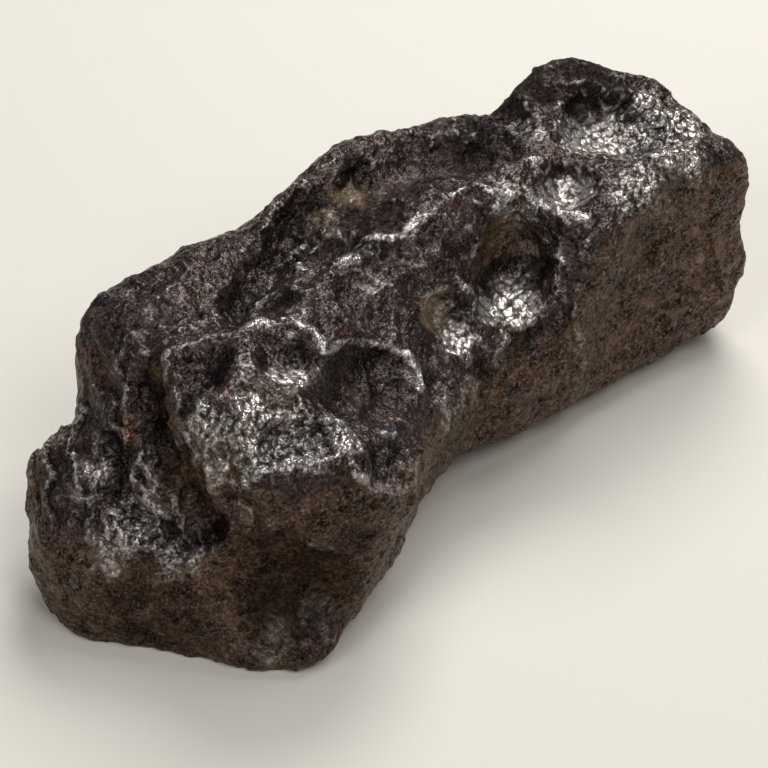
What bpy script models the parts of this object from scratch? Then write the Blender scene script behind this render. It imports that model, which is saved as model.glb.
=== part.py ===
"""An iron meteorite: one solid block of nickel-iron, lying on its flattest side.

Frame: metres, +Z up, the long axis along X, the base on Z = 0. The front, with the deepest hollows, faces -Y.
The numbers in the lists below are millimetres.
"""

import bmesh
import bpy
import numpy as np
from mathutils import Matrix

MM = 0.001

RINGS_PER_SECTION = 4  # rings of faces between two neighbouring sections
SPANS_PER_SIDE = 9  # faces between two neighbouring points of a section
BASE_DIP = 10  # how far the round of the underside reaches below its feet, before the base is worn flat
SOFTENING_PASSES = 2

METAL_COLOUR = (0.075, 0.062, 0.055, 1.0)
METAL_ROUGHNESS = 0.42
METAL_METALLIC = 0.75

# One outline per station along X. Each runs round the block from the front foot: up the front face, over
# the crest, and down the back to the back foot, as (y, z). The underside closes it.
SECTIONS = {
    -153: [(8, 0), (5, 12), (6, 26), (13, 36), (23, 40), (29, 33), (31, 17), (25, 0)],
    -147: [(-1, 0), (-6, 16), (1, 34), (12, 46), (24, 50), (34, 41), (37, 22), (28, 0)],
    -138: [(-12, 0), (-17, 20), (-12, 38), (3, 51), (23, 59), (44, 55), (46, 30), (33, 0)],
    -124: [(-42, 0), (-39, 28), (-29, 46), (-5, 62), (23, 67), (45, 59), (53, 36), (41, 0)],
    -111: [(-57, 0), (-56, 34), (-43, 66), (-13, 84), (17, 81), (46, 65), (51, 40), (43, 0)],
    -99: [(-64, 0), (-63, 42), (-51, 79), (-15, 97), (17, 98), (60, 88), (56, 46), (45, 0)],
    -78: [(-57, 2), (-66, 44), (-59, 82), (-17, 101), (17, 98), (61, 92), (71, 52), (51, 0)],
    -56: [(-53, 12), (-65, 42), (-65, 70), (-17, 98), (17, 96), (57, 96), (71, 50), (51, 0)],
    -28: [(-41, 14), (-47, 40), (-49, 64), (-1, 96), (23, 94), (49, 99), (67, 52), (47, 0)],
    0: [(-33, 14), (-43, 35), (-41, 56), (-1, 96), (25, 96), (50, 103), (69, 50), (45, 0)],
    28: [(-35, 9), (-44, 29), (-43, 58), (-1, 101), (27, 100), (55, 103), (65, 50), (43, 0)],
    50: [(-39, 8), (-49, 36), (-45, 60), (-5, 98), (21, 98), (47, 101), (59, 50), (39, 0)],
    72: [(-42, 8), (-45, 40), (-43, 84), (-15, 96), (15, 99), (37, 100), (53, 50), (35, 0)],
    94: [(-45, 8), (-46, 42), (-44, 87), (-17, 98), (9, 103), (30, 102), (47, 50), (33, 0)],
    116: [(-48, 9), (-49, 44), (-42, 90), (-21, 99), (5, 105), (27, 112), (41, 60), (29, 2)],
    136: [(-54, 14), (-51, 46), (-45, 87), (-23, 94), (-3, 99), (13, 103), (29, 60), (17, 8)],
    154: [(-49, 26), (-48, 52), (-48, 84), (-32, 89), (-15, 93), (0, 93), (9, 62), (-7, 26)],
}
END_TIPS = {"left": (-155, 17, 14), "right": (160, -28, 60)}

# The thumbprint hollows and furrows that flight through the air melted into the surface. Each follows a short
# line of points on the block: (points, radius, depth). A round hollow has one point.
TOP_HOLLOWS = [
    ([(104, -2, 103), (115, -17, 100)], 18, 8),
    ([(79, -17, 97)], 15, 7),
    ([(75, 12, 99), (59, 19, 99)], 13, 4),
    ([(45, 28, 99), (29, 31, 101)], 15, 6),
    ([(-18, 16, 96), (-9, 15, 96)], 8, 3),
    ([(-47, 15, 96)], 10, 3),
    ([(-67, -16, 100)], 12, 6),
    ([(-94, -2, 101)], 12, 5),
    ([(-81, 34, 97)], 13, 4),
    ([(-62, 18, 97), (-41, 27, 95), (-23, 32, 97), (-7, 38, 102)], 8, 5),
    ([(-29, 45, 98)], 13, 4),
    ([(87, 23, 101)], 14, 4),
]
FRONT_HOLLOWS = [
    ([(43, -25, 82), (35, -27, 79)], 18, 10),
    ([(8, -25, 75)], 12, 5),
    ([(-61, -35, 91), (-35, -32, 81)], 15, 7),
    ([(-93, -39, 90), (-81, -48, 89)], 9, 4),
    ([(-63, -63, 76)], 10, 4),
    ([(-111, -53, 44), (-101, -65, 31)], 19, 9),
    ([(12, -41, 60), (9, -45, 44), (9, -43, 28)], 8, 4),
    ([(32, -42, 58)], 13, 3),
    ([(91, -47, 68)], 16, 3),
]
LEFT_END_HOLLOWS = [
    ([(-104, 16, 92), (-115, 6, 79), (-117, -13, 73), (-119, -29, 60)], 10, 7),
    ([(-122, 19, 69), (-132, 8, 58)], 8, 4),
    ([(-133, 3, 56), (-125, -21, 51)], 7, 4),
]
RIGHT_END_HOLLOWS = [
    ([(157, -31, 62)], 17, 5),
    ([(153, -3, 72)], 14, 5),
    ([(143, -7, 22), (137, 9, 30)], 15, 4),
]
BACK_HOLLOWS = [
    ([(-109, 53, 40)], 15, 6),
    ([(-79, 67, 64), (-67, 69, 54)], 17, 8),
    ([(-37, 69, 70)], 14, 6),
    ([(-33, 63, 26), (-13, 61, 28)], 16, 6),
    ([(3, 63, 76), (15, 61, 66)], 18, 8),
    ([(47, 57, 40)], 18, 7),
    ([(53, 53, 86)], 12, 5),
    ([(81, 45, 64)], 16, 7),
    ([(103, 37, 32), (117, 35, 42)], 15, 6),
    ([(115, 39, 84)], 13, 5),
]
BASE_HOLLOWS = [
    ([(-109, 13, 0), (-93, 25, 0)], 18, 6),
    ([(-27, 37, 0)], 17, 5),
    ([(37, -11, 0), (53, -7, 0)], 16, 6),
    ([(107, 5, 0)], 18, 6),
]
HOLLOWS = TOP_HOLLOWS + FRONT_HOLLOWS + LEFT_END_HOLLOWS + RIGHT_END_HOLLOWS + BACK_HOLLOWS + BASE_HOLLOWS


def catmull_rom(points, steps, closed):
    """Points on a smooth curve through the given rows, `steps` to each span, ends included when it is open."""
    rows = np.asarray(points, float)
    count = len(rows)
    made = []
    for span in range(count if closed else count - 1):
        numbers = [span - 1, span, span + 1, span + 2]
        if closed:
            p0, p1, p2, p3 = (rows[number % count] for number in numbers)
        else:
            p0, p1, p2, p3 = (rows[min(max(number, 0), count - 1)] for number in numbers)
        for t in np.arange(steps) / steps:
            linear = (p2 - p0) * t
            square = (2 * p0 - 5 * p1 + 4 * p2 - p3) * t**2
            cubic = (3 * p1 - p0 - 3 * p2 + p3) * t**3
            made.append(0.5 * (2 * p1 + linear + square + cubic))
    if not closed:
        made.append(rows[-1])
    return np.array(made)


def block_rings():
    """The smooth block as rings of points, shape (ring, point round it, xyz)."""
    outlines = []
    for x, outline in sorted(SECTIONS.items()):
        underside = (np.array(outline[0]) + outline[-1]) / 2 - (0, BASE_DIP)
        ring = catmull_rom([*outline, underside], SPANS_PER_SIDE, closed=True)
        outlines.append(np.column_stack([np.full(len(ring), float(x)), ring]))
    return catmull_rom(outlines, RINGS_PER_SECTION, closed=False)


def block_faces(ring_count, around):
    """Quads between neighbouring rings, and a fan of triangles to the tip of each end."""
    faces = []
    for i in range(ring_count - 1):
        for j in range(around):
            k = (j + 1) % around
            faces.append((i * around + j, (i + 1) * around + j, (i + 1) * around + k, i * around + k))
    left_tip = ring_count * around
    right_tip = left_tip + 1
    last_ring = (ring_count - 1) * around
    for j in range(around):
        k = (j + 1) % around
        faces.append((left_tip, j, k))
        faces.append((right_tip, last_ring + k, last_ring + j))
    return faces


def distance_to_line(points, line):
    """Distance from each point to the nearest place on the line of points."""
    ends = np.asarray(line, float)
    nearest = np.linalg.norm(points - ends[0], axis=1)
    for start, stop in zip(ends[:-1], ends[1:]):
        along = stop - start
        share = np.clip((points - start) @ along / (along @ along), 0.0, 1.0)
        nearest = np.minimum(nearest, np.linalg.norm(points - start - share[:, None] * along, axis=1))
    return nearest


def hollow_depths(points):
    """How deep each point sinks. Where two hollows meet the deeper one wins, which leaves a crisp ridge."""
    depths = np.zeros(len(points))
    for line, radius, depth in HOLLOWS:
        share = distance_to_line(points, line) / radius
        depths = np.maximum(depths, depth * np.clip(1.0 - share**2, 0.0, None) ** 1.5)
    return depths


def vertex_normals(mesh):
    normals = np.empty(len(mesh.vertices) * 3)
    mesh.vertices.foreach_get("normal", normals)
    return normals.reshape(-1, 3)


def soften(mesh):
    """Rounds the edges that the hollows left, as wear does."""
    form = bmesh.new()
    form.from_mesh(mesh)
    for _ in range(SOFTENING_PASSES):
        bmesh.ops.smooth_vert(
            form, verts=form.verts, factor=0.5, use_axis_x=True, use_axis_y=True, use_axis_z=True
        )
    form.to_mesh(mesh)
    form.free()


def centre_on_box(mesh):
    """Moves the block so that the middle of its box is over the origin."""
    corners = np.array([vertex.co for vertex in mesh.vertices])
    middle = (corners.min(axis=0) + corners.max(axis=0)) / 2
    mesh.transform(Matrix.Translation((-middle[0], -middle[1], 0.0)))


def metal():
    """Weathered nickel-iron."""
    material = bpy.data.materials.new("weathered_iron")
    material.use_nodes = True
    shader = material.node_tree.nodes["Principled BSDF"]
    shader.inputs["Base Color"].default_value = METAL_COLOUR
    shader.inputs["Roughness"].default_value = METAL_ROUGHNESS
    shader.inputs["Metallic"].default_value = METAL_METALLIC
    return material


def meteorite_mesh():
    """The block, cut flat at the base, with its hollows sunk in, centred over the origin."""
    rings = block_rings()
    ring_count, around = rings.shape[:2]
    points = np.vstack([rings.reshape(-1, 3), END_TIPS["left"], END_TIPS["right"]])
    points[:, 2] = np.maximum(points[:, 2], 0.0)
    mesh = bpy.data.meshes.new("meteorite")
    mesh.from_pydata(points.tolist(), [], block_faces(ring_count, around))
    points -= vertex_normals(mesh) * hollow_depths(points)[:, None]
    points[:, 2] = np.maximum(points[:, 2], 0.0)
    mesh.vertices.foreach_set("co", (points * MM).ravel())
    soften(mesh)
    centre_on_box(mesh)
    mesh.update()
    return mesh


def main():
    for old in list(bpy.data.objects):
        bpy.data.objects.remove(old)
    meteorite = bpy.data.objects.new("meteorite", meteorite_mesh())
    meteorite.data.materials.append(metal())
    meteorite.data.shade_smooth()
    bpy.context.scene.collection.objects.link(meteorite)


main()
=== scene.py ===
"""The looks of the iron meteorite: a fine skin over the CAD block, its weathered metal, and a plain studio.

Places and sizes on the meteorite are in millimetres, in the CAD frame. The studio is in metres.
"""

import math
from types import SimpleNamespace

import bpy
import numpy as np
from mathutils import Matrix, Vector, noise

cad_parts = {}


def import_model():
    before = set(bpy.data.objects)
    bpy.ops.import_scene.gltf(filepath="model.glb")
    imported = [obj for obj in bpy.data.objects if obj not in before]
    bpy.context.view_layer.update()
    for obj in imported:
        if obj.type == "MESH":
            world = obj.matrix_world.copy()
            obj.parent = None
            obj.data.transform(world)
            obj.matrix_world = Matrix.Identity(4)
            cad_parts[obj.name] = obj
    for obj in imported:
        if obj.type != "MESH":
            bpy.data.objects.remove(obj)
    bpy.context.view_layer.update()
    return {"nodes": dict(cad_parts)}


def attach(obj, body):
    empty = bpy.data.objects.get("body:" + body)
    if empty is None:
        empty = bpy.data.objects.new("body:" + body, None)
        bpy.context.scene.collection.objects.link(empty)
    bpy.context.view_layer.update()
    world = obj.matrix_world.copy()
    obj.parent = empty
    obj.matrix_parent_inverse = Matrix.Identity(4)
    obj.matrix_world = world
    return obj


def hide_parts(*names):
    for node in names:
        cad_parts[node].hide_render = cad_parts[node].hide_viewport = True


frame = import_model()

MM = 0.001

# --- The shape of the skin ------------------------------------------------------------------------------

VOXEL = 0.6  # how fine the skin's faces are
WELD_REACH = 0.01  # how near the block's points have to be to count as one
ROUNDING_LEVELS = 2  # subdivisions that take the flat facets off the block

UPHILL = (0.45, 0.75, 0.5)  # from a hollow's middle to its upper side
LEAN = 0.55  # how much deeper a hollow is on its upper side
SINKING = 1.2  # how much deeper the hollows and gullies are than their lists say
WANDER_REACH = 3.0  # how far the rims of the hollows and the crests stray from a smooth line
WANDER_SIZE = 11.0  # how long each of those bends is

# Each hollow follows a short line of points on the block: (points, radius, depth). It is deepest, and has
# its steepest wall, on its upper side.
HOLLOWS = [
    ([(110, -5, 97), (121, -17, 94)], 17, 4.2),
    ([(79, -18, 90)], 14, 2.6),
    ([(-67, -16, 96)], 15, 3.2),
    ([(-94, -2, 97)], 14, 2.8),
    ([(-18, 16, 94), (-9, 15, 94)], 9, 2.6),
    ([(-48, 12, 94)], 12, 2.6),
    ([(48, -21, 83), (38, -27, 74), (27, -34, 64)], 16, 3.8),
    ([(8, -25, 73)], 14, 3.8),
    ([(-58, -40, 86), (-38, -31, 80)], 18, 3.4),
    ([(-93, -41, 87), (-81, -50, 86)], 12, 2.8),
    ([(-63, -64, 74)], 12, 3.6),
    ([(-111, -53, 44), (-101, -65, 31)], 23, 3.5),
    ([(84, 22, 98)], 15, 3.0),
    ([(66, 14, 98)], 11, 2.4),
    ([(26, -20, 88)], 9, 1.6),
    ([(-24, -6, 94)], 12, 1.8),
    ([(-37, -6, 94)], 8, 1.4),
    ([(-106, -30, 82)], 9, 1.2),
    ([(14, 14, 97)], 9, 1.6),
    ([(-14, -38, 66)], 10, 1.6),
    ([(32, -42, 56)], 13, 2.2),
    ([(-1, -44, 50)], 9, 1.4),
    ([(92, -46, 70)], 15, 1.8),
    ([(122, -50, 62)], 13, 1.6),
    ([(78, -46, 46)], 12, 1.4),
    ([(108, -50, 36)], 14, 1.6),
]

# The hollows of the back and of the right end.
BACK_HOLLOWS = [
    ([(-109, 53, 40)], 16, 3.0),
    ([(-78, 69, 64), (-67, 71, 54)], 18, 3.5),
    ([(-37, 69, 70)], 15, 3.0),
    ([(-33, 63, 26), (-13, 61, 28)], 16, 2.6),
    ([(3, 66, 76), (15, 64, 66)], 18, 3.6),
    ([(47, 59, 40)], 18, 3.2),
    ([(53, 55, 86)], 13, 2.6),
    ([(81, 48, 64)], 17, 3.4),
    ([(110, 38, 37)], 16, 2.8),
    ([(115, 41, 84)], 14, 2.6),
    ([(152, -12, 66)], 16, 2.8),
    ([(143, -4, 26)], 14, 2.2),
]

# Low swellings: (points, radius, height).
MOUNDS = [
    ([(66, -2, 98)], 12, 1.5),
    ([(-79, 36, 95)], 14, 3.0),
]

# Gullies are narrower, and V-shaped: (points, radius, depth).
GULLIES = [
    (
        [(-101, 18, 90), (-106, 15, 82), (-112, 8, 75),
         (-115, -5, 71), (-115, -17, 65), (-116, -27, 58)],
        10, 5.0,
    ),
    ([(-121, 19, 67), (-125, 13, 62), (-130, 7, 56)], 7, 3.2),
    ([(-131, 3, 54), (-128, -6, 52), (-126, -15, 49), (-123, -22, 49)], 7, 3.6),
    ([(-112, 2, 75), (-118, -4, 68), (-121, -10, 62)], 6, 2.0),
    ([(-64, 15, 95), (-41, 25, 92), (-27, 31, 93), (-12, 36, 96), (6, 41, 99), (22, 38, 99)], 10, 4.0),
    ([(12, -41, 60), (9, -45, 44), (9, -43, 28)], 8, 3.0),
    ([(-34, 10, 93), (-22, 10, 96), (-10, 0, 95)], 5, 1.4),
    ([(-86, 20, 97), (-78, 14, 98), (-66, 12, 97), (-58, 16, 95)], 6, 2.0),
    ([(-100, 34, 90), (-88, 26, 94), (-74, 25, 96)], 6, 2.0),
]

# Crests between the hollows, where the metal stands proud and is worn bright: (points, width, height).
CRESTS = [
    ([(-93, 11, 99), (-81, 9, 99), (-73, 2, 100), (-62, 2, 99)], 8, 1.4),
    ([(-63, 1, 99), (-54, -3, 99), (-51, -13, 97), (-52, -19, 95)], 8, 1.6),
    (
        [(-52, -19, 95), (-38, -18, 89), (-26, -22, 82),
         (-20, -27, 77), (-19, -34, 72), (-25, -41, 70)],
        8, 1.8,
    ),
    ([(-57, 7, 97), (-44, 21, 92), (-29, 30, 92), (-16, 30, 95)], 8, 1.6),
    ([(-27, 19, 94), (-20, 10, 97), (-13, 5, 97), (-6, 0, 96)], 8, 1.4),
    (
        [(-8, 12, 96), (8, 2, 99), (20, 2, 101), (30, 2, 102),
         (43, 0, 100), (54, -5, 98), (62, -14, 95)],
        10, 2.3,
    ),
    ([(62, -14, 95), (67, -25, 91), (71, -34, 90)], 9, 1.8),
    (
        [(-113, -19, 68), (-109, -34, 78), (-103, -40, 83),
         (-92, -49, 84), (-82, -56, 83), (-73, -57, 83)],
        10, 2.3,
    ),
    ([(-76, -60, 80), (-74, -65, 71), (-64, -68, 65), (-54, -67, 63), (-49, -63, 66)], 10, 2.3),
    ([(49, -10, 94), (57, -16, 92), (59, -24, 87), (58, -35, 79), (54, -39, 70)], 9, 2.1),
    ([(78, -2, 98), (71, -8, 96), (66, -16, 94), (68, -24, 92), (72, -33, 91)], 8, 1.1),
    (
        [(105, 11, 103), (99, 5, 99), (99, -5, 96), (104, -16, 95),
         (110, -29, 96), (119, -34, 95), (127, -37, 93)],
        8, 2.8,
    ),
    ([(92, -2, 98), (93, -14, 95), (90, -26, 92)], 6, 1.4),
    ([(3, -17, 83), (11, -17, 83), (22, -21, 78)], 8, 1.1),
]

# Edges of the block and of its steps, raised so that they stay sharp: (points, width, height).
EDGES = [
    ([(105, 18, 109), (117, 11, 108), (130, 1, 102), (142, -9, 97)], 8, 1.8),
    ([(72, -41, 87), (92, -43, 88), (114, -45, 81), (129, -47, 78)], 5, 1.0),
    ([(69, -39, 86), (61, -41, 77), (54, -47, 60), (52, -48, 31)], 6, 1.8),
    ([(-154, 22, 29), (-145, -2, 35), (-140, -10, 38), (-132, -20, 40), (-124, -30, 46)], 7, 1.8),
    ([(-110, 21, 81), (-116, 12, 73), (-120, -2, 68), (-121, -14, 60)], 7, 3.0),
    ([(-124, 24, 66), (-130, 16, 60), (-134, 10, 57)], 6, 1.6),
    ([(-25, 27, 97), (-8, 28, 99), (4, 31, 100), (16, 29, 99)], 9, 3.0),
    ([(131, -49, 76), (134, -54, 60), (134, -55, 44), (133, -54, 30)], 9, 1.8),
]

# Where handling and sand have polished the oxide to bare, grey metal: (middle, radius, amount). An amount
# above 1 widens the patch.
POLISHED = [
    ((119, -12, 95), 14, 1.4),
    ((108, -3, 96), 14, 1.8),
    ((134, -20, 95), 16, 1.0),
    ((122, -38, 93), 14, 0.8),
    ((97, -36, 93), 13, 0.6),
    ((87, 12, 101), 11, 0.4),
    ((80, -18, 90), 12, 1.6),
    ((57, -8, 97), 11, 0.5),
    ((44, -25, 74), 9, 1.3),
    ((34, -30, 68), 13, 1.7),
    ((8, -29, 69), 10, 1.0),
    ((2, -41, 54), 10, 0.5),
    ((-16, -46, 58), 9, 0.5),
    ((-107, -20, 88), 13, 1.6),
    ((-100, -30, 91), 13, 1.4),
    ((-87, -42, 89), 13, 1.2),
    ((-70, -47, 88), 11, 1.0),
    ((-72, -22, 96), 9, 1.0),
    ((-115, -56, 14), 10, 0.4),
    ((-98, -63, 19), 9, 0.5),
    ((-128, -24, 45), 10, 0.8),
    ((-131, -7, 50), 13, 0.9),
    ((-141, 0, 45), 10, 0.8),
    ((-130, 18, 61), 9, 0.5),
    ((-121, 1, 67), 8, 0.5),
    ((-62, -64, 71), 8, 0.4),
    ((-6, 30, 98), 9, 0.4),
]

# The smooth, shining floors of the deeper hollows: (middle, radius, amount).
SMOOTH = [
    ((80, -18, 90), 13, 0.8),
    ((37, -28, 69), 15, 0.8),
    ((9, -28, 69), 10, 0.6),
    ((110, -5, 95), 14, 0.7),
    ((-72, -22, 96), 10, 0.7),
    ((-48, -42, 82), 12, 0.4),
    ((-106, -60, 36), 22, 0.7),
]

# Where a dark crust without shine is left, and where shade is painted in the same way on faces turned from
# the light: (middle, radius, amount).
DULL_AND_SHADED = [
    ((126, 14, 108), 20, 1.0),
    # Painted shade on the steep upper wall of the first hollow.
    ((129, 1, 103), 9, 1.0),
    ((102, 22, 105), 15, 0.9),
    ((66, 22, 99), 20, 0.9),
    ((30, 18, 99), 18, 0.6),
    ((4, 20, 98), 25, 1.0),
    ((44, -6, 98), 12, 0.6),
    ((-48, 14, 94), 14, 0.5),
    ((-90, 36, 94), 14, 0.6),
    # Painted shade on the lower left front, which faces away from the light.
    ((-104, -62, 34), 32, 1.0),
    ((-140, -18, 18), 26, 0.7),
    ((-82, -66, 52), 20, 0.6),
]

# Where brown oxide without shine lies thick: (middle, radius, amount).
EARTHY = [
    ((-106, -60, 40), 24, 1.0),
    ((-86, -64, 50), 20, 0.7),
    ((50, -17, 86), 12, 1.0),
    ((4, -19, 78), 11, 0.9),
    ((-114, -8, 69), 10, 0.8),
    ((-45, -30, 84), 9, 0.5),
    ((10, 33, 100), 9, 0.5),
    ((24, 28, 96), 12, 0.4),
]

# Where a thin, yellowish crust lies over the brown: (middle, radius, amount).
TAN = [
    ((50, -18, 86), 13, 0.9),
    ((4, -19, 78), 10, 1.0),
    ((11, 33, 100), 9, 0.8),
    ((-6, 29, 97), 8, 0.6),
    ((-100, 15, 90), 6, 0.5),
    ((-113, 16, 78), 6, 0.5),
]

# Small spots of fresh rust: (middle, radius, amount).
RUSTY = [
    ((-29, -28, 78), 2.6, 1.0),
    ((-46, -47, 77), 3.0, 1.0),
    ((-54, -34, 84), 2.4, 0.8),
    ((-40, -16, 92), 2.6, 0.7),
    ((-117, 15, 72), 3.6, 0.8),
    ((33, -1, 101), 2.6, 0.8),
    ((-96, -14, 97), 5.0, 0.4),
]

# The finer relief that covers the whole block. A size is how wide its features are.
LUMP_SIZE = 20.0
LUMP_HEIGHT = 1.2
SCALLOP_SIZE = 10.0
SCALLOP_HEIGHT = 2.2
FACET_SIZE = 9.0
FACET_HEIGHT = 0.4
STEP_SIZE = 11.0
STEP_HEIGHT = 2.6
DIMPLE_SIZE = 4.2
DIMPLE_HEIGHT = 0.6
CRAG_SIZE = 9.0
CRAG_HEIGHT = 0.7
GRAIN_SIZE = 2.6
GRAIN_HEIGHT = 0.18
PIT_SIZE = 6.0
PIT_DEPTH = 0.9
CRAG_RUN = (-0.45, -0.72, -0.53)  # the way the crags run
CRAG_CLIMB = (0.45, -0.67, 0.53)  # the way the steps of the left end climb
CRAG_DRAWING = 0.45  # how much the crags are drawn out along their run

# How many rounds of averaging with its neighbours take a point to the mean of its surroundings.
NARROW = 2
WIDE = 30
VERY_WIDE = 60

NOISE_SEED = 7  # without it, the lean of the facets would change from run to run

PATCH_SIZE = 9.0  # the unevenness of the weathering
FINE_PATCH_SIZE = 2.5
BACK_PATCH_SIZE = 35.0  # patches of the back that the brown hasn't covered


def skin_over(node):
    """A fine, even, closed mesh over the CAD block, as an object of its own."""
    skin = bpy.data.objects.new("meteorite_skin", node.data.copy())
    bpy.context.scene.collection.objects.link(skin)
    weld = skin.modifiers.new("weld", "WELD")
    weld.merge_threshold = WELD_REACH * MM
    rounding = skin.modifiers.new("rounding", "SUBSURF")
    rounding.levels = ROUNDING_LEVELS
    rounding.render_levels = ROUNDING_LEVELS
    even = skin.modifiers.new("even_faces", "REMESH")
    even.mode = "VOXEL"
    even.voxel_size = VOXEL * MM
    graph = bpy.context.evaluated_depsgraph_get()
    mesh = bpy.data.meshes.new_from_object(skin.evaluated_get(graph))
    mesh.name = "meteorite_skin"
    skin.modifiers.clear()
    skin.data = mesh
    return skin


class Relief:
    """The skin's points in millimetres, with what is needed to push them in and out."""

    def __init__(self, mesh):
        self.mesh = mesh
        self.points = self.read(mesh.vertices, "co") / MM
        ends = np.empty(len(mesh.edges) * 2, np.int32)
        mesh.edges.foreach_get("vertices", ends)
        self.ends = ends.reshape(-1, 2)
        self.neighbours = np.bincount(ends, minlength=len(self.points))

    @staticmethod
    def read(items, name):
        """One vector for each item, as rows."""
        values = np.empty(len(items) * 3)
        items.foreach_get(name, values)
        return values.reshape(-1, 3)

    def normals(self):
        self.mesh.vertices.foreach_set("co", (self.points * MM).ravel())
        self.mesh.update()
        return self.read(self.mesh.vertices, "normal")

    def smooth(self, values, passes):
        """Each value, or row of values, becomes the mean of its neighbours', `passes` times over."""
        first, second = self.ends.T
        columns = np.atleast_2d(values.T).copy()
        for _ in range(passes):
            for column in columns:
                total = np.bincount(first, column[second], len(column))
                total += np.bincount(second, column[first], len(column))
                column[:] = total / self.neighbours
        return columns.T if values.ndim > 1 else columns[0]

    def push(self, height):
        """Moves each point along its normal, outwards where the height is above zero."""
        self.points += self.normals() * height[:, None]

    def bulge(self, passes):
        """How far each point stands out from its surroundings: crests above zero, hollows below."""
        normals = self.normals()
        away = self.points - self.smooth(self.points, passes)
        return (away * normals).sum(axis=1)

    def store(self, name, values):
        """Keeps a value for each point in the mesh, where the material reads it."""
        layer = self.mesh.attributes.new(name, "FLOAT", "POINT")
        layer.data.foreach_set("value", values.astype(np.float32))


def unit(vector):
    return np.array(vector) / np.linalg.norm(vector)


def smoothstep(low, high, values):
    """0 up to `low`, 1 from `high` on, and smooth between them. It falls where `high` is the lower."""
    share = np.clip((values - low) / (high - low), 0.0, 1.0)
    return share * share * (3.0 - 2.0 * share)


def lumps(points, size, octaves, seed):
    """Fractal noise, about -1 to 1, whose largest lumps are `size` millimetres across."""
    places = points / size + (seed * 17.3, seed * 5.1, seed * 9.7)
    return np.array([noise.fractal(place, 1.0, 2.0, octaves) for place in places.tolist()])


def wandering(points, size, octaves, seed):
    """A random vector for each point, about -1 to 1 each way, that changes over `size` millimetres."""
    return np.column_stack([lumps(points, size, octaves, seed + axis) for axis in range(3)])


def cell_places(points, size, seed):
    return points / size + (seed * 13.7, seed * 3.9, seed * 7.1)


def cells(points, size, seed):
    """A random pattern of cells: how far the nearest middle is, and how much further off the next."""
    near = np.array([noise.voronoi(place)[0][:2] for place in cell_places(points, size, seed).tolist()])
    return near[:, 0], near[:, 1] - near[:, 0]


def facets(points, size, seed):
    """Height of a pattern of flat cells that each lean their own way, about -1 to 1."""
    heights = []
    for place in cell_places(points, size, seed).tolist():
        middle = noise.voronoi(place)[1][0]
        tilt = 3.0 * noise.noise_vector(middle * 7.7)
        heights.append(tilt.dot(Vector(place) - middle))
    return np.array(heights)


def steps(points, size):
    """Height of a flight of slanting steps, `size` millimetres apart, that run along the crags: 0 to 1."""
    climb = points @ unit(CRAG_CLIMB) / size + 0.8 * lumps(points, 18.0, octaves=2, seed=16)
    return climb - np.floor(climb)


def distance_to_line(points, line):
    """Distance from each point to the nearest place on the line of points."""
    ends = np.asarray(line, float)
    nearest = np.linalg.norm(points - ends[0], axis=1)
    for start, stop in zip(ends[:-1], ends[1:]):
        along = stop - start
        share = np.clip((points - start) @ along / (along @ along), 0.0, 1.0)
        nearest = np.minimum(nearest, np.linalg.norm(points - start - share[:, None] * along, axis=1))
    return nearest


# Profiles across a hollow or a crest: its height, where share is 0 on its line and 1 at its edge.


def bowl(share):
    return 1.0 - share**2


def v_shape(share):
    return 1.0 - share


def cusp(share):
    return (1.0 - share) ** 2


def swelling(share):
    return (1.0 - share**2) ** 2


def thin(share):
    return smoothstep(0.25, 0.05, share)


def leaning(points, line, width):
    """Makes a hollow deeper on its upper side, so that its upper wall is steep."""
    uphill = (points - np.mean(line, axis=0)) @ unit(UPHILL) / width
    return np.clip(1.0 + LEAN * uphill, 0.2, 2.0)


def highest(points, lines, profile, lean=None):
    """The most that any of the lines raises each point. Each is a tuple (line, width, height)."""
    result = np.zeros(len(points))
    for line, width, height in lines:
        share = np.clip(distance_to_line(points, line) / width, 0.0, 1.0)
        shape = profile(share)
        if lean:
            shape *= lean(points, line, width)
        result = np.maximum(result, height * shape)
    return result


def patches(points, places, waver=0.0):
    """How much of each point the patches cover. They fade out at their edges, which stray by `waver`."""
    strayed = points + np.reshape(waver, (-1, 1))
    amount = np.zeros(len(points))
    for middle, radius, most in places:
        share = np.linalg.norm(strayed - middle, axis=1) / radius
        amount = np.maximum(amount, most * smoothstep(1.15, 0.45, share))
    return amount


def craggy_end(points):
    """1 on the stepped, craggy upper part of the left end, and 0 away from it."""
    return smoothstep(-96.0, -116.0, points[:, 0]) * smoothstep(38.0, 55.0, points[:, 2])


def calm_face(points):
    """1 on the flatter, right-hand part of the front face, and 0 away from it."""
    return smoothstep(60.0, 80.0, points[:, 0]) * smoothstep(-30.0, -42.0, points[:, 1])


def carve(relief):
    """Sinks the hollows and gullies, and raises the swellings, crests and edges.

    It returns how deep each point sank, and where the thin lines along the crests are.
    """
    places = relief.points + WANDER_REACH * wandering(relief.points, WANDER_SIZE, octaves=4, seed=1)
    bowls = highest(places, HOLLOWS + BACK_HOLLOWS, bowl, leaning)
    depth = np.maximum(bowls, highest(places, GULLIES, v_shape))
    raised = highest(places, CRESTS + EDGES, cusp)
    broken = np.clip(0.7 + 0.8 * lumps(relief.points, 9.0, octaves=2, seed=4), 0.2, 1.3)
    relief.push(highest(places, MOUNDS, swelling) + raised * broken - SINKING * depth)
    return depth, highest(places, CRESTS, thin)


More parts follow.
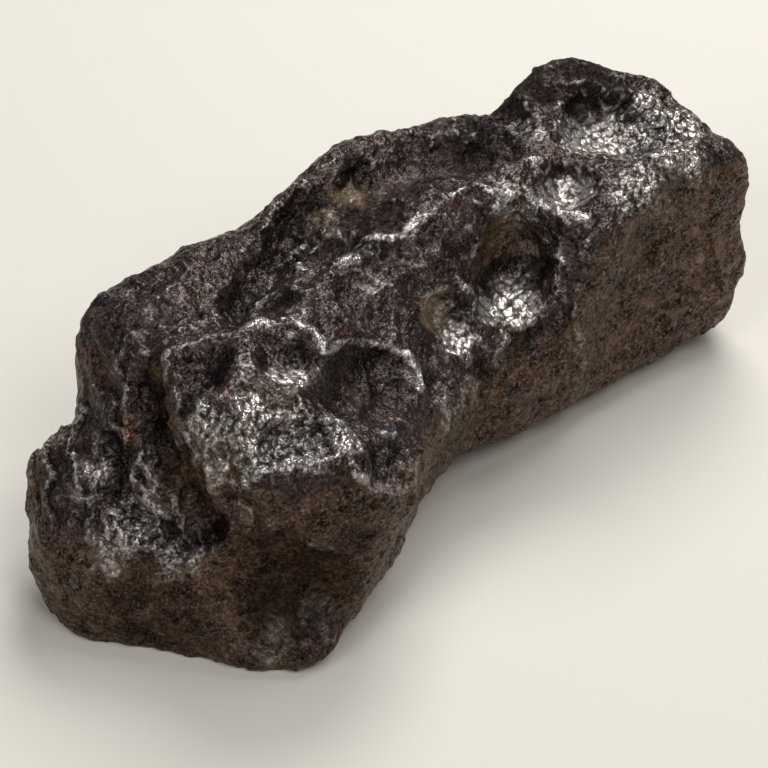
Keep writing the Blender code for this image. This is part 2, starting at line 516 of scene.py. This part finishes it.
def roughen(relief, smooth):
    """Covers the skin with relief, from lumps down to grain and pits, and less of it where it is smooth.

    It returns where the ridges between the scallops and dimples are.
    """
    start = relief.points.copy()
    wander = wandering(start, 6.0, octaves=2, seed=11)
    warped = start + 2.2 * wander
    along = start @ unit(CRAG_RUN)
    drawn_out = start + wander - CRAG_DRAWING * along[:, None] * unit(CRAG_RUN)
    craggy = craggy_end(start)
    calm = calm_face(start)
    pitted = smoothstep(0.1, 0.5, lumps(start, 18.0, octaves=2, seed=6))
    pits = smoothstep(0.30, 0.16, cells(warped, PIT_SIZE, seed=5)[0]) * pitted

    relief.push(LUMP_HEIGHT * lumps(start, LUMP_SIZE, octaves=2, seed=5))

    scallop, border = cells(warped, SCALLOP_SIZE, seed=1)
    amount = (1.0 - 0.3 * calm - 0.4 * craggy) * (1.0 - 0.7 * smooth)
    relief.push(amount * SCALLOP_HEIGHT * (scallop**2 - 0.25))

    relief.push(FACET_HEIGHT * relief.smooth(facets(drawn_out, FACET_SIZE, seed=3), 2))

    rise = relief.smooth(steps(start + 1.8 * wander, STEP_SIZE), 1)
    relief.push(craggy * STEP_HEIGHT * (rise - 0.5))

    dimple, small_border = cells(warped, DIMPLE_SIZE, seed=2)
    amount = (1.0 - 0.3 * calm - 0.6 * craggy) * (1.0 - 0.6 * smooth)
    relief.push(amount * DIMPLE_HEIGHT * (dimple**2 - 0.25))

    crags = 0.4 - np.abs(lumps(drawn_out, CRAG_SIZE, octaves=3, seed=7))
    relief.push(CRAG_HEIGHT * (1.0 + craggy) * (1.0 - 0.8 * smooth) * crags)

    grain = lumps(start, GRAIN_SIZE, octaves=2, seed=8)
    relief.push((GRAIN_HEIGHT + 0.25 * calm) * grain - PIT_DEPTH * pits)
    return smoothstep(0.10, 0.0, border) + 0.5 * smoothstep(0.12, 0.0, small_border)


def keep_base_flat(relief):
    """The patches that it rests on stay at the height of the surface."""
    relief.points[:, 2] = np.maximum(relief.points[:, 2], 0.0)


def weather(relief, facing_up, sunk, crest_lines, ridges, smooth):
    """Stores on each point how worn, how far into a hollow or crease (where shade is painted), how brown
    and so on it is, for the material to read.
    """
    x, y, _ = relief.points.T
    patchy = lumps(relief.points, PATCH_SIZE, octaves=4, seed=10)
    fine_patchy = lumps(relief.points, FINE_PATCH_SIZE, octaves=3, seed=14)
    fine_bulge = relief.bulge(NARROW)
    wide_bulge = relief.bulge(WIDE)
    inside = smoothstep(0.6, 2.4, sunk) * (1.0 - 0.8 * smooth)
    # Creases, which the material darkens as painted shade.
    crevice_shade = smoothstep(0.0, -0.25, fine_bulge)
    tan = patches(relief.points, TAN, 3.0 * patchy)

    proud = 0.8 * smoothstep(0.06, 0.24, fine_bulge) * (0.15 + 0.85 * smoothstep(0.2, 1.4, wide_bulge))
    upper_ridges = 0.35 * ridges * smoothstep(0.1, 0.7, patchy) * smoothstep(0.4, 0.7, facing_up)
    left_tip = smoothstep(-108.0, -118.0, x)
    worn = (proud + upper_ridges) * (1.0 - 0.7 * inside) * (1.0 - 0.3 * left_tip)
    worn += 0.8 * crest_lines * smoothstep(-0.6, 0.2, fine_patchy + patchy)

    spared = smoothstep(-0.1, 0.3, lumps(relief.points, BACK_PATCH_SIZE, octaves=3, seed=15))
    bare_back = smoothstep(10.0, 40.0, y) * spared
    sides = smoothstep(0.60, 0.34, facing_up + 0.12 * patchy) * (1.0 - 0.7 * bare_back)
    earthy = patches(relief.points, EARTHY, 4.0 * patchy)

    relief.store("worn", np.clip(worn, 0.0, 1.0))
    # Painted shade in the hollows and creases, with the darker oxide of the hollows; the tan crust is
    # spared it.
    relief.store("hollow", np.maximum(0.8 * inside, crevice_shade) * (1.0 - 0.8 * tan))
    relief.store("brown", np.maximum(earthy, sides))
    relief.store("polish", patches(relief.points, POLISHED, 6.0 * patchy))
    # The dull crust, and painted shade on faces turned from the light.
    relief.store("dull", patches(relief.points, DULL_AND_SHADED, 5.0 * patchy))
    relief.store("rust", patches(relief.points, RUSTY, 1.2 * fine_patchy))
    relief.store("tan", tan)
    relief.store("smooth", smooth)


def shaped_skin():
    """The skin, with its relief and with its weathering stored on it."""
    noise.seed_set(NOISE_SEED)
    made = skin_over(frame["nodes"]["meteorite"])
    relief = Relief(made.data)
    facing_up = relief.smooth(relief.normals()[:, 2], VERY_WIDE)
    sunk, crest_lines = carve(relief)
    smooth = patches(relief.points, SMOOTH)
    ridges = roughen(relief, smooth)
    keep_base_flat(relief)
    weather(relief, facing_up, sunk, crest_lines, ridges, smooth)
    made.data.shade_smooth()
    return made


# --- The metal ------------------------------------------------------------------------------------------

OXIDE_DARK = (0.009, 0.006, 0.0055, 1.0)
OXIDE_LIGHT = (0.078, 0.052, 0.045, 1.0)
BROWN_DARK = (0.008, 0.004, 0.0025, 1.0)
BROWN_LIGHT = (0.088, 0.047, 0.026, 1.0)
OCHRE = (0.23, 0.155, 0.10, 1.0)
TAN_CRUST = (0.21, 0.145, 0.09, 1.0)
POLISHED_METAL = (0.62, 0.57, 0.53, 1.0)
BARE_METAL = (0.60, 0.56, 0.53, 1.0)
RUST = (0.15, 0.042, 0.020, 1.0)
OXIDE_IOR = 1.5

# Sizes of the patterns in the metal, in millimetres.
STAIN_SIZE = 8.0
RUST_SPOT_SIZE = 5.0
# The dark spots are painted shade of small pits.
DARK_SPOT_SIZE = 3.5
DOME_SIZE = 2.6  # small, rounded cells
DOME_HEIGHT = 1.3
RIPPLE_SIZE = 3.0  # what bends the cells out of line
RIPPLE_REACH = 2.4
GRIT_SIZE = 1.05
GRIT_HEIGHT = 0.5
GRIT_STRETCH = (0.85, 1.0, 1.0)
GRIT_TURN = (0.0, 0.4, 0.7)

STORED = ("worn", "hollow", "brown", "polish", "dull", "rust", "tan", "smooth")


class Nodes:
    """Short names for building a node tree. An input is a number, a colour or another node's output."""

    def __init__(self, material):
        material.use_nodes = True
        self.tree = material.node_tree
        self.shader = self.tree.nodes["Principled BSDF"]

    def link(self, source, socket):
        if isinstance(source, (int, float, tuple)):
            socket.default_value = source
        else:
            self.tree.links.new(source, socket)

    def add(self, kind, inputs, **settings):
        node = self.tree.nodes.new(kind)
        for name, value in settings.items():
            setattr(node, name, value)
        for name, source in inputs.items():
            self.link(source, node.inputs[name])
        return node

    def math(self, operation, *values):
        return self.add("ShaderNodeMath", dict(enumerate(values)), operation=operation).outputs[0]

    def times(self, first, second):
        return self.math("MULTIPLY", first, second)

    def larger(self, first, second):
        return self.math("MAXIMUM", first, second)

    def scaled(self, value, factor, start):
        """`start` where the value is 0, and `start` plus the factor where it is 1."""
        return self.math("MULTIPLY_ADD", value, factor, start)

    def blend(self, first, share, second):
        """`share` of the first value, and the rest of the second."""
        return self.math("MULTIPLY_ADD", first, share, self.times(second, 1.0 - share))

    def ramp(self, source, low, high, to_low=0.0, to_high=1.0):
        """`to_low` up to `low`, `to_high` from `high` on, and a straight line between them."""
        limits = {"From Min": low, "From Max": high, "To Min": to_low, "To Max": to_high}
        return self.add("ShaderNodeMapRange", {"Value": source, **limits}).outputs[0]

    def mix(self, share, first, second):
        """The first colour where the share is 0, and the second where it is 1."""
        return self.add("ShaderNodeMix", {0: share, 6: first, 7: second}, data_type="RGBA").outputs[2]

    def attribute(self, name):
        return self.add("ShaderNodeAttribute", {}, attribute_name=name).outputs["Fac"]

    def noise(self, place, size, detail, roughness=0.5):
        """Noise whose lumps are `size` millimetres across: its outputs are "Fac" and "Color"."""
        settings = {"Scale": 1.0 / (size * MM), "Detail": detail, "Roughness": roughness}
        return self.add("ShaderNodeTexNoise", {"Vector": place, **settings}).outputs

    def bump(self, height, distance, **under):
        """A bump `distance` millimetres high, on top of the one given as Normal, if any."""
        inputs = {"Height": height, "Distance": distance * MM, "Strength": 1.0, **under}
        return self.add("ShaderNodeBump", inputs).outputs["Normal"]


def metal_patterns(nodes):
    """What the colour, the shine and the bump are all made from: the stored values and a few noises."""
    found = SimpleNamespace(**{name: nodes.attribute(name) for name in STORED})
    found.upper = nodes.scaled(found.brown, -1.0, 1.0)
    # 1 away from the dull crust and its painted shade, and lower on them, where it darkens the colour and
    # dims the shine.
    found.matt = nodes.scaled(found.dull, -0.7, 1.0)
    found.place = nodes.add("ShaderNodeTexCoord", {}).outputs["Object"]
    found.stain = nodes.noise(found.place, STAIN_SIZE, 6.0, 0.65)["Fac"]

    turned = {"Vector": found.place, "Scale": GRIT_STRETCH, "Rotation": GRIT_TURN}
    streaky = nodes.add("ShaderNodeMapping", turned).outputs["Vector"]
    found.grit = nodes.noise(streaky, GRIT_SIZE, 2.0, 0.55)["Fac"]

    ripple = nodes.noise(found.place, RIPPLE_SIZE, 2.0)["Color"]
    bend = {0: ripple, 1: (RIPPLE_REACH * MM,) * 3, 2: found.place}
    rippled = nodes.add("ShaderNodeVectorMath", bend, operation="MULTIPLY_ADD").outputs[0]
    spread = {"Vector": rippled, "Scale": 1.0 / (DOME_SIZE * MM)}
    found.cell = nodes.add("ShaderNodeTexVoronoi", spread).outputs["Distance"]
    return found


def oxide_colour(nodes, iron):
    """The purplish grey oxide of the upper faces, darker in the hollows and creases: painted shade there,
    with the darker oxide of the hollows.
    """
    blotchy = nodes.scaled(iron.hollow, -0.14, nodes.blend(iron.grit, 0.35, iron.stain))
    light = nodes.times(nodes.ramp(blotchy, 0.34, 0.66), iron.matt)
    return nodes.mix(light, OXIDE_DARK, OXIDE_LIGHT)


def earth_colour(nodes, iron, broad):
    """The brown of the sides, with ochre grit and seams, and dark spots painted as the shade of small pits.
    """
    light = nodes.times(nodes.ramp(broad, 0.38, 0.58), iron.matt)
    earth = nodes.mix(light, BROWN_DARK, BROWN_LIGHT)
    speck = nodes.times(nodes.ramp(iron.grit, 0.60, 0.68), nodes.times(iron.matt, 0.6))
    seam = nodes.times(nodes.ramp(iron.cell, 0.60, 0.80), nodes.times(iron.matt, 0.45))
    earth = nodes.mix(nodes.larger(speck, seam), earth, OCHRE)
    # Dark spots painted in as the shade of small pits.
    pit_shade = nodes.ramp(nodes.noise(iron.place, DARK_SPOT_SIZE, 1.0)["Fac"], 0.36, 0.30)
    return nodes.mix(nodes.times(pit_shade, 0.8), earth, BROWN_DARK)


def weathered_colour(nodes, iron):
    """The oxide and the brown, with thin tan crust and small rust spots on them."""
    broad = nodes.blend(iron.grit, 0.22, iron.stain)
    colour = nodes.mix(iron.brown, oxide_colour(nodes, iron), earth_colour(nodes, iron, broad))
    crust = nodes.times(iron.tan, nodes.ramp(broad, 0.36, 0.60))
    colour = nodes.mix(crust, colour, TAN_CRUST)
    spots = nodes.ramp(nodes.noise(iron.place, RUST_SPOT_SIZE, 3.0, 0.6)["Fac"], 0.68, 0.74)
    return nodes.mix(nodes.times(nodes.larger(iron.rust, spots), 0.6), colour, RUST)


def polish_amount(nodes, iron):
    """How polished the metal is, with ragged edges to the patches."""
    ragged = nodes.scaled(nodes.math("SUBTRACT", iron.stain, 0.5), 1.4, iron.polish)
    return nodes.ramp(ragged, 0.10, 0.80)


def bright_metal(nodes, iron, polish):
    """How much polished metal and how much bare, worn metal shows."""
    # Less metal shows in the hollows and creases: part of their painted shade.
    mottle = nodes.math("SUBTRACT", nodes.blend(iron.grit, 0.6, iron.stain), nodes.times(iron.hollow, 0.12))
    glint = nodes.larger(nodes.ramp(mottle, 0.40, 0.56), iron.smooth)
    sheen = nodes.larger(nodes.scaled(iron.upper, 0.03, 0.01), polish)
    sheen = nodes.times(sheen, nodes.scaled(glint, 0.8, 0.2))
    sheen = nodes.larger(sheen, nodes.times(nodes.ramp(mottle, 0.57, 0.64), 0.2))
    sheen = nodes.times(sheen, nodes.ramp(iron.cell, 0.70, 0.45, 0.15, 1.0))
    sheen = nodes.times(sheen, iron.matt)
    bare = nodes.times(iron.worn, nodes.scaled(glint, 0.85, 0.15))
    bare = nodes.times(bare, nodes.scaled(iron.upper, 0.6, 0.4))
    return sheen, bare


def metal_bump(nodes, iron, polish):
    """Small domes, clearest where it is polished, and grit, gentlest there. Smooth floors have less."""
    calmed = nodes.scaled(iron.smooth, -0.6, 1.0)
    domes = nodes.math("SUBTRACT", 1.0, nodes.times(iron.cell, iron.cell))
    domes = nodes.times(domes, nodes.scaled(polish, 0.6, 0.4))
    grit = nodes.times(iron.grit, nodes.scaled(polish, -0.5, 1.0))
    normal = nodes.bump(nodes.times(domes, calmed), DOME_HEIGHT)
    return nodes.bump(nodes.times(grit, calmed), GRIT_HEIGHT, Normal=normal)


def weathered_iron():
    """Dark iron oxide over metal: purplish above, brown below and in hollows, bright where it is worn."""
    material = bpy.data.materials.new("weathered_iron")
    nodes = Nodes(material)
    iron = metal_patterns(nodes)
    polish = polish_amount(nodes, iron)
    sheen, bare = bright_metal(nodes, iron, polish)

    colour = nodes.mix(sheen, weathered_colour(nodes, iron), POLISHED_METAL)
    colour = nodes.mix(bare, colour, BARE_METAL)
    half_metal = nodes.times(nodes.scaled(iron.upper, 0.45, 0.1), iron.matt)
    metallic = nodes.larger(nodes.larger(sheen, bare), half_metal)
    roughness = nodes.scaled(iron.dull, 0.15, nodes.ramp(iron.grit, 0.3, 0.7, 0.20, 0.30))
    roughness = nodes.scaled(iron.smooth, 0.10, roughness)
    roughness = nodes.scaled(iron.brown, 0.12, roughness)
    gloss = nodes.times(nodes.scaled(iron.upper, -0.05, 0.3), iron.matt)
    # Less specular where the grit is low: painted shade in the low spots of the bumps.
    gloss = nodes.times(gloss, nodes.ramp(iron.grit, 0.42, 0.54, 0.05, 1.0))

    inputs = nodes.shader.inputs
    nodes.link(colour, inputs["Base Color"])
    nodes.link(metallic, inputs["Metallic"])
    nodes.link(roughness, inputs["Roughness"])
    nodes.link(gloss, inputs["Specular IOR Level"])
    nodes.link(metal_bump(nodes, iron, polish), inputs["Normal"])
    inputs["IOR"].default_value = OXIDE_IOR
    return material


skin = shaped_skin()
skin.data.materials.clear()
skin.data.materials.append(weathered_iron())
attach(skin, "root")
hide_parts("meteorite")

# --- The studio -----------------------------------------------------------------------------------------

FLOOR_COLOUR = (0.79, 0.755, 0.69, 1.0)
FLOOR_ROUGHNESS = 0.9
FLOOR_HALF_WIDTH = 4.0
FLOOR_GAP = 0.0003  # keeps the floor just clear of the flat base
WORLD_COLOUR = (1.0, 0.98, 0.95, 1.0)
WORLD_STRENGTH = 0.035
LIGHT_COLOUR = (1.0, 0.995, 0.985)
LIGHT_DISTANCE = 1.5
# Soft discs of light: (azimuth and elevation in degrees, width, power in watts).
LIGHTS = {
    "key": (123.0, 50.0, 0.8, 15.4),
    "top": (78.0, 70.0, 0.7, 5.2),
    "front": (-8.0, 55.0, 0.8, 6.6),
    "left": (-88.0, 46.0, 0.8, 4.8),
}
CAMERA_AZIMUTH = -45.0
CAMERA_ELEVATION = 42.0
CAMERA_DISTANCE = 1.15
CAMERA_LENS = 143.0
CAMERA_TARGET = Vector((-0.0115, -0.0094, 0.045))


def towards(azimuth, elevation):
    """The unit vector to a viewer at these angles in degrees: azimuth 0 looks at the front."""
    turn = math.radians(azimuth)
    rise = math.radians(elevation)
    return Vector((math.sin(turn) * math.cos(rise), -math.cos(turn) * math.cos(rise), math.sin(rise)))


def aim(name, data, azimuth, elevation, distance):
    """Places a camera or a light so that it looks at the meteorite from these angles."""
    item = bpy.data.objects.new(name, data)
    away = towards(azimuth, elevation)
    item.location = CAMERA_TARGET + away * distance
    item.rotation_euler = (-away).to_track_quat("-Z", "Y").to_euler()
    bpy.context.scene.collection.objects.link(item)
    return item


def floor():
    half = FLOOR_HALF_WIDTH
    mesh = bpy.data.meshes.new("floor")
    corners = [(-half, -half, 0), (half, -half, 0), (half, half, 0), (-half, half, 0)]
    mesh.from_pydata(corners, [], [(0, 1, 2, 3)])
    plane = bpy.data.objects.new("floor", mesh)
    plane.location.z = -FLOOR_GAP
    bpy.context.scene.collection.objects.link(plane)
    material = bpy.data.materials.new("floor")
    material.use_nodes = True
    shader = material.node_tree.nodes["Principled BSDF"]
    shader.inputs["Base Color"].default_value = FLOOR_COLOUR
    shader.inputs["Roughness"].default_value = FLOOR_ROUGHNESS
    shader.inputs["Specular IOR Level"].default_value = 0.0
    mesh.materials.append(material)


def world():
    dome = bpy.data.worlds.new("studio")
    dome.use_nodes = True
    sky = dome.node_tree.nodes["Background"]
    sky.inputs["Color"].default_value = WORLD_COLOUR
    sky.inputs["Strength"].default_value = WORLD_STRENGTH
    bpy.context.scene.world = dome


def lights():
    for name, (azimuth, elevation, width, power) in LIGHTS.items():
        data = bpy.data.lights.new(name, "AREA")
        data.shape = "DISK"
        data.size = width
        data.energy = power
        data.color = LIGHT_COLOUR
        aim(name, data, azimuth, elevation, LIGHT_DISTANCE)


def camera():
    data = bpy.data.cameras.new("camera")
    data.lens = CAMERA_LENS
    bpy.context.scene.camera = aim("camera", data, CAMERA_AZIMUTH, CAMERA_ELEVATION, CAMERA_DISTANCE)


floor()
world()
lights()
camera()
bpy.context.scene.view_settings.view_transform = "Standard"
